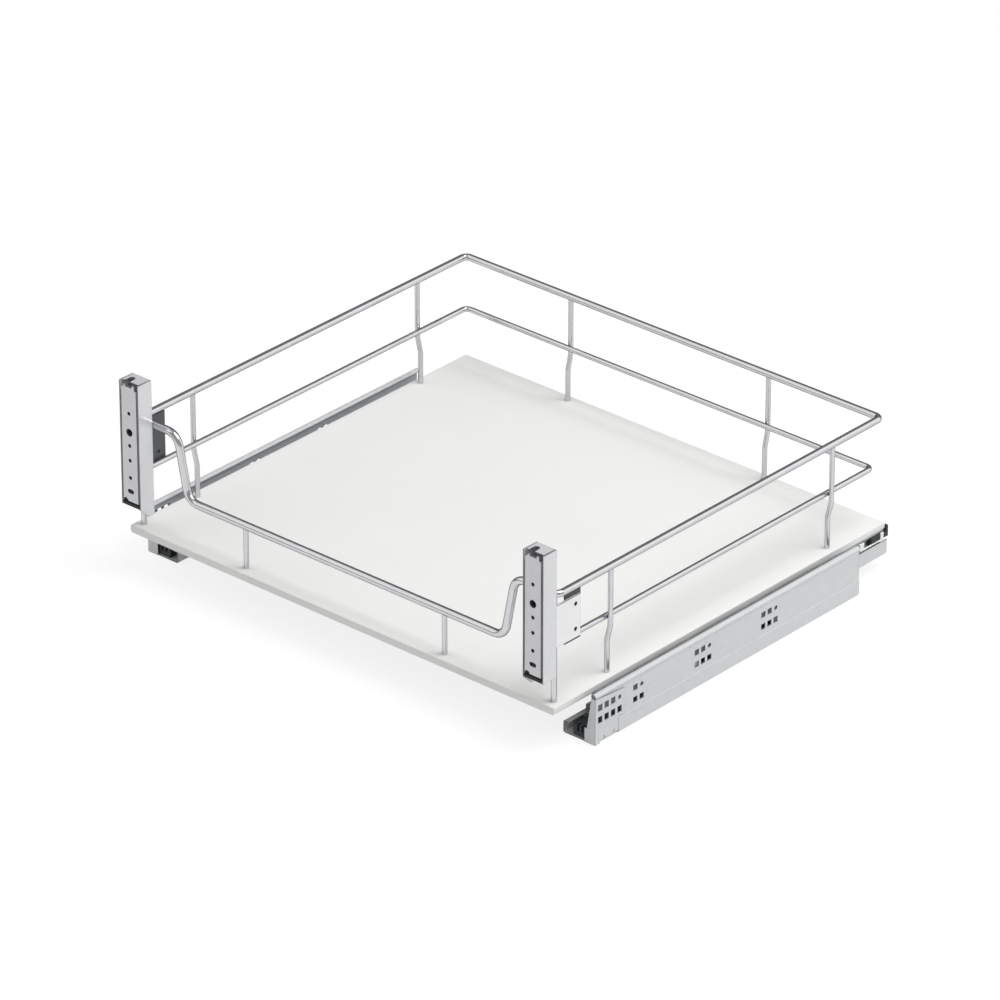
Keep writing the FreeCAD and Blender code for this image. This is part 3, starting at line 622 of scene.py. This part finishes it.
def screw_tree() -> NodeTree:
    """Tree that drives a cross-recess screw upwards from every point.

    Returns:
        The tree.
    """
    tree = NodeTree("screws", ["Head Radius", "Neck Radius", "Head Height", "Shank Radius", "Length",
                               "Recess Arm", "Recess Width", "Recess Depth"], ["Round Steps"])
    head = tree.add("GeometryNodeMeshCone", {
        "Vertices": tree.size("Round Steps"), "Depth": tree.size("Head Height"),
        "Radius Top": tree.size("Neck Radius"), "Radius Bottom": tree.size("Head Radius")})
    cross = tree.add("GeometryNodeMeshBoolean", operation="UNION", solver="EXACT")
    for first, second in (("Recess Arm", "Recess Width"), ("Recess Width", "Recess Arm")):
        span = tree.add("ShaderNodeCombineXYZ", {
            "X": tree.size(first), "Y": tree.size(second), "Z": tree.size("Recess Depth")})
        bar = tree.add("GeometryNodeMeshCube", {"Size": span.outputs[0]})
        tree.tree.links.new(bar.outputs[0], cross.inputs["Mesh 2"])
    pressed = tree.add("GeometryNodeMeshBoolean", {
        "Mesh 1": head.outputs["Mesh"], "Mesh 2": cross.outputs[0]}, operation="DIFFERENCE", solver="EXACT")
    shank = tree.add("GeometryNodeMeshCylinder", {
        "Vertices": tree.size("Round Steps"), "Radius": tree.size("Shank Radius"),
        "Depth": tree.size("Length")})
    half = tree.add("ShaderNodeMath", {0: tree.size("Length"), 1: 0.5}, operation="MULTIPLY")
    level = tree.add("ShaderNodeMath", {0: half.outputs[0], 1: tree.size("Head Height")}, operation="ADD")
    rise = tree.add("ShaderNodeCombineXYZ", {"Z": level.outputs[0]})
    raised = tree.add("GeometryNodeTransform", {
        "Geometry": shank.outputs["Mesh"], "Translation": rise.outputs[0]})
    screw = tree.add("GeometryNodeJoinGeometry")
    for solid in (pressed, raised):
        tree.tree.links.new(solid.outputs[0], screw.inputs[0])
    screws = tree.add("GeometryNodeInstanceOnPoints", {
        "Points": tree.size("Geometry"), "Instance": screw.outputs[0]})
    tree.close(screws.outputs[0])
    return tree


def solid_boxes(node: str) -> list[tuple[Vector, Vector]]:
    """Find the box of every separate solid of a CAD node.

    Args:
        node: The CAD node.

    Returns:
        The low and high corner of each solid, in the mesh's own order, so that it is the same in each run.
    """
    shape = bmesh.new()
    shape.from_mesh(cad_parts[node].data)
    bmesh.ops.remove_doubles(shape, verts=shape.verts, dist=MERGE_DISTANCE)
    reached = set()
    boxes = []
    for start in shape.verts:
        if start in reached:
            continue
        reached.add(start)
        front = [start]
        places = []
        while front:
            vertex = front.pop()
            places.append(vertex.co)
            for edge in vertex.link_edges:
                other = edge.other_vert(vertex)
                if other not in reached:
                    reached.add(other)
                    front.append(other)
        boxes.append(tuple(Vector([pick(place[axis] for place in places) for axis in range(3)])
                           for pick in (min, max)))
    shape.free()
    return boxes


@dataclass
class WireRailing:
    """The bent-wire railing: three rails, ten posts and the weld beads between them."""

    top_wire: float = 0.007
    lower_wire: float = 0.0055
    front_wire: float = 0.008
    post_wire: float = 0.005
    corner_wire: float = 0.0055
    rail_bend: float = 0.006
    dip_bend: float = 0.015
    crank_bend: float = 0.009
    dip_top_x: float = 0.211
    dip_slope: float = 0.013
    crank_top: float = 0.050
    crank_bottom: float = 0.034
    bead: float = 0.0016
    bead_steps: int = 12
    round_steps: int = 32
    bend_steps: int = 12

    def __post_init__(self) -> None:
        """Read the rails' places from the frame."""
        low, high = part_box("top_rail")
        self.rail_x = high[0] - self.top_wire / 2
        self.rail_z = (low[2] + high[2]) / 2
        self.back_y = high[1] - self.top_wire / 2
        low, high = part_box("front_rail")
        self.front_y = (low[1] + high[1]) / 2
        self.front_end_x = high[0]
        self.dip_z = low[2] + self.front_wire / 2
        low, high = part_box("lower_rail")
        self.lower_x = high[0] - self.lower_wire / 2
        self.lower_start_y = low[1]
        self.lower_back_y = high[1] - self.lower_wire / 2
        self.lower_z = (low[2] + high[2]) / 2
        self.board_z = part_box("base_board")[1][2]
        self.post_stop = self.top_wire / 4
        self.sweep = wire_tree()
        self.beads: list[Point] = []

    def wire(self, node: str, points: Sequence[Point], diameter: float, bend: float, finish: Finish) -> None:
        """Sweep one wire and put it in its CAD node's place.

        Args:
            node: The CAD node that it stands for.
            points: The corners of its centre line.
            diameter: Its thickness.
            bend: The centre line's bend radius.
            finish: Its surface finish.
        """
        piece = self.sweep.bake(path_object(points), f"{node}_wire", {
            "Wire Radius": diameter / 2, "Bend Radius": bend, "Bend Steps": self.bend_steps,
            "Round Steps": self.round_steps, FINISH_INPUT: finish.material()})
        settle(piece, "drawer", finish, [node])

    def build_rails(self) -> None:
        """Make the upper, lower and front rails."""
        x, y, z = self.rail_x, self.front_y, self.rail_z
        end = self.front_end_x
        self.wire("top_rail", [(end, y, z), (x, y, z), (x, self.back_y, z), (-x, self.back_y, z), (-x, y, z),
                               (-end, y, z)], self.top_wire, self.rail_bend, RAIL_CHROME)
        low_x, low_z = self.lower_x, self.lower_z
        self.wire("lower_rail", [(low_x, self.lower_start_y, low_z), (low_x, self.lower_back_y, low_z),
                                 (-low_x, self.lower_back_y, low_z), (-low_x, self.lower_start_y, low_z)],
                  self.lower_wire, self.rail_bend, RAIL_CHROME)
        top_x = self.dip_top_x
        dip_x = top_x - self.dip_slope
        self.wire("front_rail", [(-end, y, z), (-top_x, y, z), (-dip_x, y, self.dip_z),
                                 (dip_x, y, self.dip_z), (top_x, y, z), (end, y, z)],
                  self.front_wire, self.dip_bend, RAIL_CHROME)

    def cranked_post(self, node: str, inward: Vector) -> None:
        """Make a post whose foot is set in from the rail.

        Args:
            node: The CAD node that it stands for.
            inward: The way that its foot is set in, of length 1.
        """
        low, high = (Vector(corner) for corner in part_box(node))
        middle = (low + high) / 2
        half_wire = Vector((1.0, 1.0, 0.0)) * self.post_wire / 2
        reach = Vector((high.x - low.x, high.y - low.y, 0.0)) / 2 - half_wire
        shift = Vector((inward.x * reach.x, inward.y * reach.y, 0.0))
        top, foot = middle - shift, middle + shift
        levels = (self.rail_z - self.post_stop, self.board_z + self.crank_top,
                  self.board_z + self.crank_bottom, self.board_z)
        points = [(spot.x, spot.y, level) for spot, level in zip((top, top, foot, foot), levels)]
        self.wire(node, points, self.post_wire, self.crank_bend, POST_CHROME)
        self.beads.append((top.x, top.y, self.rail_z - self.top_wire / 2))
        contact = top + inward * self.post_wire / 2
        self.beads.append((contact.x, contact.y, self.lower_z))

    def straight_post(self, node: str, diameter: float, top_z: float) -> None:
        """Make an upright post under a rail.

        Args:
            node: The CAD node that it stands for.
            diameter: Its thickness.
            top_z: The rail's centre height.
        """
        low, high = (Vector(corner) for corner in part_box(node))
        middle = (low + high) / 2
        self.wire(node, [(middle.x, middle.y, top_z - self.post_stop), (middle.x, middle.y, self.board_z)],
                  diameter, self.rail_bend, POST_CHROME)
        self.beads.append((middle.x, middle.y, top_z - self.front_wire / 2))

    def build_posts(self) -> None:
        """Make all the posts of both sides."""
        for side in Side:
            self.cranked_post(side.node("side_post_front"), Vector((-side.value, 0.0, 0.0)))
            self.cranked_post(side.node("side_post_rear"), Vector((-side.value, 0.0, 0.0)))
            self.cranked_post(side.node("back_post"), Vector((0.0, -1.0, 0.0)))
            self.straight_post(side.node("front_post"), self.post_wire, self.dip_z)
            self.straight_post(side.node("corner_post"), self.corner_wire, self.rail_z)

    def build(self) -> None:
        """Make the whole railing."""
        self.build_rails()
        self.build_posts()
        # Near-black beads: painted shade at the posts' joints with the rails.
        welds = weld_tree().bake(points_object(self.beads), "railing_welds", {
            "Bead Radius": self.bead, "Round Steps": self.bead_steps, FINISH_INPUT: WELD_PAINTED_SHADE.material()})
        settle(welds, "drawer", WELD_PAINTED_SHADE)


@dataclass(frozen=True)
class EdgeSoftener:
    """Copies a CAD node's shape, breaks its sharp edges as the real part's are, and marks its cut faces,
    bores and broken edges for darkening: bare steel, and painted shade in bores and along edges.
    """

    width: float
    steps: int = 2
    shortest: float = 0.002
    sharp: float = math.radians(40)
    shade_limit: float = math.radians(20)
    flat: float = math.radians(0.5)
    roundness: float = 0.5
    cut_width: float = 0.0017
    bore_width: float = 0.0026
    bore_facet: float = 0.001

    def is_sharp(self, edge: bmesh.types.BMEdge) -> bool:
        """Whether two faces meet at this edge at a sharp angle."""
        return len(edge.link_faces) == 2 and edge.calc_face_angle() > self.sharp

    def mark_cut_and_shade_faces(self, shape: bmesh.types.BMesh) -> bmesh.types.BMLayerItem:
        """Mark the narrow faces between sharp edges, where the sheet was cut through, and the walls of bores,
        to be darkened: bare steel on cut edges, painted shade in bores.

        A face's width is taken as twice its area over the length of its sharp edges.

        Args:
            shape: The shape, before its edges are broken.

        Returns:
            The layer that holds the marks.
        """
        layer = shape.faces.layers.float.new(CUT_AND_SHADE_LAYER)
        for face in shape.faces:
            rims = [edge.calc_length() for edge in face.edges if self.is_sharp(edge)]
            limit = self.bore_width if rims and max(rims) < self.bore_facet else self.cut_width
            if rims and 2 * face.calc_area() / sum(rims) < limit:
                face[layer] = 1.0
        return layer

    def break_edges(self, shape: bmesh.types.BMesh, layer: bmesh.types.BMLayerItem) -> None:
        """Round the sharp edges a little and mark the new faces too, which darkens them as painted shade
        along the edges.

        Args:
            shape: The shape, with its cut faces marked.
            layer: The layer that holds the marks.
        """
        edges = [edge for edge in shape.edges if self.is_sharp(edge) and edge.calc_length() > self.shortest]
        broken = bmesh.ops.bevel(shape, geom=edges, offset=self.width, offset_type="OFFSET",
                                 segments=self.steps, profile=self.roundness, affect="EDGES",
                                 clamp_overlap=False)
        for face in broken["faces"]:
            face[layer] = 1.0

    def copy_of(self, node: str) -> bpy.types.Object:
        """Make the softened copy of a node.

        Args:
            node: The CAD node.

        Returns:
            The new piece.
        """
        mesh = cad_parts[node].data.copy()
        mesh.name = f"{node}_surface"
        shape = bmesh.new()
        shape.from_mesh(mesh)
        bmesh.ops.remove_doubles(shape, verts=shape.verts, dist=MERGE_DISTANCE)
        bmesh.ops.dissolve_limit(shape, angle_limit=self.flat, verts=shape.verts, edges=shape.edges)
        self.break_edges(shape, self.mark_cut_and_shade_faces(shape))
        for face in shape.faces:
            face.smooth = True
        for edge in shape.edges:
            edge.smooth = len(edge.link_faces) != 2 or edge.calc_face_angle() < self.shade_limit
        shape.to_mesh(mesh)
        shape.free()
        return place_object(mesh.name, mesh)


@dataclass
class BaseBoard:
    """The flat white board with its eased outer edges."""

    ease: float = 0.0006
    ease_steps: int = 3
    long_edge: float = 0.4

    def build(self) -> None:
        """Make the board with only its long outer edges eased."""
        board = EdgeSoftener(self.ease, self.ease_steps, self.long_edge).copy_of("base_board")
        settle(board, "drawer", BOARD_WHITE, ["base_board"])


@dataclass(frozen=True)
class SheetPart:
    """How one sheet-metal or moulded CAD node is softened and finished."""

    node: str
    body: str
    finish: Finish
    ease: float

    def build(self, side: Side) -> None:
        """Make the softened piece of one side.

        Args:
            side: The side of the drawer.
        """
        node = side.node(self.node)
        body = side.node(self.body) if self.body in PAIRED_BODIES else self.body
        settle(EdgeSoftener(self.ease).copy_of(node), body, self.finish, [node])


class PairedParts:
    """A sub-assembly with the same softened parts on both sides."""

    def parts(self) -> list[SheetPart]:
        """The parts of one side."""
        raise NotImplementedError

    def build(self) -> None:
        """Make the parts of both sides."""
        for side in Side:
            for part in self.parts():
                part.build(side)


@dataclass
class PanelChannels(PairedParts):
    """The two front channels with their panel strips, adjusters, screws and plates."""

    sheet_ease: float = 0.0003
    screw_ease: float = 0.00025

    def parts(self) -> list[SheetPart]:
        """List one side's parts.

        Returns:
            The parts, in the order that they are made.
        """
        return [
            SheetPart("front_channel", "drawer", CHANNEL_ZINC, self.sheet_ease),
            SheetPart("front_strip", "panel_strip", STRIP_ZINC, self.sheet_ease),
            # The near-black foot fills the channel's bottom below the strip: painted shade for the channel's
            # dark inside.
            SheetPart("channel_foot", "drawer", BLACK_PLASTIC, self.sheet_ease),
            SheetPart("adjuster_cam", "height_adjuster", SCREW_DARK, self.screw_ease),
            SheetPart("clamp_screw", "drawer", SCREW_DARK, self.screw_ease),
            SheetPart("fixing_plate", "drawer", PLATE_ZINC, self.sheet_ease),
            SheetPart("plate_backing", "drawer", DARK_BACKING, self.sheet_ease),
        ]


@dataclass
class Slides(PairedParts):
    """The two roller slides under the board's long edges."""

    sheet_ease: float = 0.00025
    moulded_ease: float = 0.0004

    def parts(self) -> list[SheetPart]:
        """List one side's parts.

        Returns:
            The parts, in the order that they are made.
        """
        return [
            SheetPart("cabinet_member", "cabinet_members", SLIDE_ZINC, self.sheet_ease),
            SheetPart("front_bracket", "cabinet_members", SLIDE_ZINC, self.sheet_ease),
            SheetPart("middle_member", "middle", SLIDE_ZINC, self.sheet_ease),
            SheetPart("drawer_member", "drawer", SLIDE_ZINC, self.sheet_ease),
            SheetPart("lower_roller_cage", "lower_carriage", BLACK_PLASTIC, self.sheet_ease),
            SheetPart("upper_roller_cage", "upper_carriage", BLACK_PLASTIC, self.sheet_ease),
            SheetPart("lower_rollers", "lower_carriage", WHITE_PLASTIC, self.sheet_ease),
            SheetPart("upper_rollers", "upper_carriage", WHITE_PLASTIC, self.sheet_ease),
            SheetPart("carriage_stop", "cabinet_members", BLACK_PLASTIC, self.moulded_ease),
            SheetPart("rear_shoe", "drawer", BLACK_PLASTIC, self.moulded_ease),
            SheetPart("shoe_frame", "drawer", WHITE_PLASTIC, self.sheet_ease),
        ]


@dataclass(frozen=True)
class ScrewKind:
    """One kind of screw driven upwards, by the CAD node that holds the whole group."""

    node: str
    neck_radius: float
    head_height: float
    shank_radius: float


@dataclass
class Screws:
    """The cross-recess screws in the posts' feet and in the drawer members' flanges."""

    recess_reach: float = 0.62
    recess_width: float = 0.0009
    recess_depth: float = 0.0022
    round_steps: int = 32
    kinds: tuple[ScrewKind, ...] = (ScrewKind("post_screws", 0.0015, 0.0017, 0.0015),
                                    ScrewKind("rail_screws", 0.0031, 0.0016, 0.00175))

    def build(self) -> None:
        """Make every kind of screw."""
        tree = screw_tree()
        for kind in self.kinds:
            boxes = solid_boxes(kind.node)
            low, high = boxes[0]
            head_radius = (high.x - low.x) / 2
            heads = [((low.x + high.x) / 2, (low.y + high.y) / 2, low.z) for low, high in boxes]
            piece = tree.bake(points_object(heads), f"{kind.node}_driven", {
                "Head Radius": head_radius, "Neck Radius": kind.neck_radius, "Head Height": kind.head_height,
                "Shank Radius": kind.shank_radius, "Length": high.z - low.z - kind.head_height,
                "Recess Arm": 2 * head_radius * self.recess_reach, "Recess Width": self.recess_width,
                "Recess Depth": self.recess_depth, "Round Steps": self.round_steps,
                FINISH_INPUT: SCREW_ZINC.material()})
            settle(piece, "drawer", SCREW_ZINC, [kind.node])


@dataclass(frozen=True)
class Lamp:
    """One square soft lamp: where it hangs, the length of its side and its power in watts."""

    name: str
    place: Point
    side: float
    power: float

    def hang(self, aim: Point) -> None:
        """Hang the lamp.

        Args:
            aim: The place that it points at.
        """
        light = bpy.data.lights.new(self.name, "AREA")
        light.shape = "SQUARE"
        light.size = self.side
        light.energy = self.power
        holder = place_object(self.name, light)
        holder.location = self.place
        holder.rotation_euler = (Vector(aim) - Vector(self.place)).to_track_quat("-Z", "Y").to_euler()


@dataclass
class Studio:
    """Pale floor, soft lamps and the camera at the photograph's angle, turned in degrees."""

    floor_reach: float = 1.9
    floor_gap: float = 0.0002
    paper_grain: Pattern = Pattern(300.0, 3.0)
    paper_greys: tuple[float, float] = (0.63, 0.66)
    seen_greys: tuple[float, float] = (0.215, 0.225)
    seen_glow: float = 0.82
    sensor: float = 36.0
    lens: float = 265.5
    sight: float = 50.0
    camera_place: Point = (4.0749, -4.6143, 3.3487)
    camera_turn: Point = (62.011, 0.0, 41.488)
    room_light: float = 0.42
    room_dark: float = 0.25
    dark_way: Point = (-0.663, 0.749, 0.0)
    dark_from: float = 0.28
    dark_full: float = 0.52
    aim: Point = (0.0, 0.0, 0.08)
    lamps: tuple[Lamp, ...] = (Lamp("key_lamp", (1.20, 0.30, 2.60), 1.8, 49.0),
                               Lamp("left_lamp", (-1.40, -1.02, 1.66), 2.4, 13.0),
                               Lamp("back_lamp", (1.44, 1.58, 1.08), 2.0, 11.0))

    def floor_material(self) -> bpy.types.Material:
        """Make the near-white floor that the camera and the bright metal see as white paper.

        Returns:
            The finished material.
        """
        sheet = ShaderSheet("studio_paper")
        grain = sheet.noise(self.paper_grain)
        paper = sheet.matt_grey(grain, *self.paper_greys)
        shaded = sheet.matt_grey(grain, *self.seen_greys)
        glow = sheet.add("ShaderNodeEmission", {"Color": (1.0, 1.0, 1.0, 1.0), "Strength": self.seen_glow})
        seen = sheet.add("ShaderNodeAddShader", {0: shaded, 1: glow.outputs[0]})
        rays = sheet.add("ShaderNodeLightPath").outputs
        direct = sheet.either(rays["Is Camera Ray"], rays["Is Glossy Ray"])
        clear = sheet.either(direct, rays["Is Transmission Ray"])
        return sheet.close(sheet.add("ShaderNodeMixShader", {0: clear, 1: paper, 2: seen.outputs[0]}))

    def build_floor(self) -> None:
        """Lay the floor under the lowest point of the drawer."""
        reach = self.floor_reach
        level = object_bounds()[0][2] - self.floor_gap
        mesh = bpy.data.meshes.new("studio_floor")
        mesh.from_pydata([(-reach, -reach, level), (reach, -reach, level), (reach, reach, level),
                          (-reach, reach, level)], [], [(0, 1, 2, 3)])
        mesh.materials.append(self.floor_material())
        floor = place_object("studio_floor", mesh)
        floor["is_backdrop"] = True

    def build_world(self) -> None:
        """Light the room softly, darker behind the drawer so that the bright wires have outlines."""
        world = bpy.data.worlds.new("studio_room")
        world.use_nodes = True
        room = TreeFiller(world.node_tree)
        room.tree.nodes.clear()
        way = room.add("ShaderNodeTexCoord")
        ahead = room.add("ShaderNodeVectorMath", {0: way.outputs["Generated"], 1: self.dark_way},
                         operation="DOT_PRODUCT")
        level = room.add("ShaderNodeMapRange", {
            "Value": ahead.outputs["Value"], "From Min": self.dark_from, "From Max": self.dark_full,
            "To Min": self.room_light, "To Max": self.room_dark}, interpolation_type="SMOOTHSTEP")
        back = room.add("ShaderNodeBackground", {"Color": level.outputs[0], "Strength": 1.0})
        room.add("ShaderNodeOutputWorld", {"Surface": back.outputs[0]})
        bpy.context.scene.world = world

    def build_camera(self) -> None:
        """Set up the camera where the photograph was taken from."""
        view = bpy.data.cameras.new("photo_camera")
        view.sensor_width = self.sensor
        view.lens = self.lens
        view.clip_end = self.sight
        camera = place_object("photo_camera", view)
        camera.location = self.camera_place
        camera.rotation_euler = tuple(math.radians(angle) for angle in self.camera_turn)
        bpy.context.scene.camera = camera

    def build(self) -> None:
        """Set up the floor, the light, the camera and the colour handling."""
        self.build_floor()
        self.build_world()
        for lamp in self.lamps:
            lamp.hang(self.aim)
        self.build_camera()
        bpy.context.scene.view_settings.view_transform = "Standard"
        logger.info("studio is ready")


def main() -> None:
    """Build every sub-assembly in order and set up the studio."""
    logging.basicConfig(level=logging.INFO, format="%(name)s: %(message)s")
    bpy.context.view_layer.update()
    WireRailing().build()
    BaseBoard().build()
    PanelChannels().build()
    Slides().build()
    Screws().build()
    Studio().build()


if __name__ == "__main__":
    main()
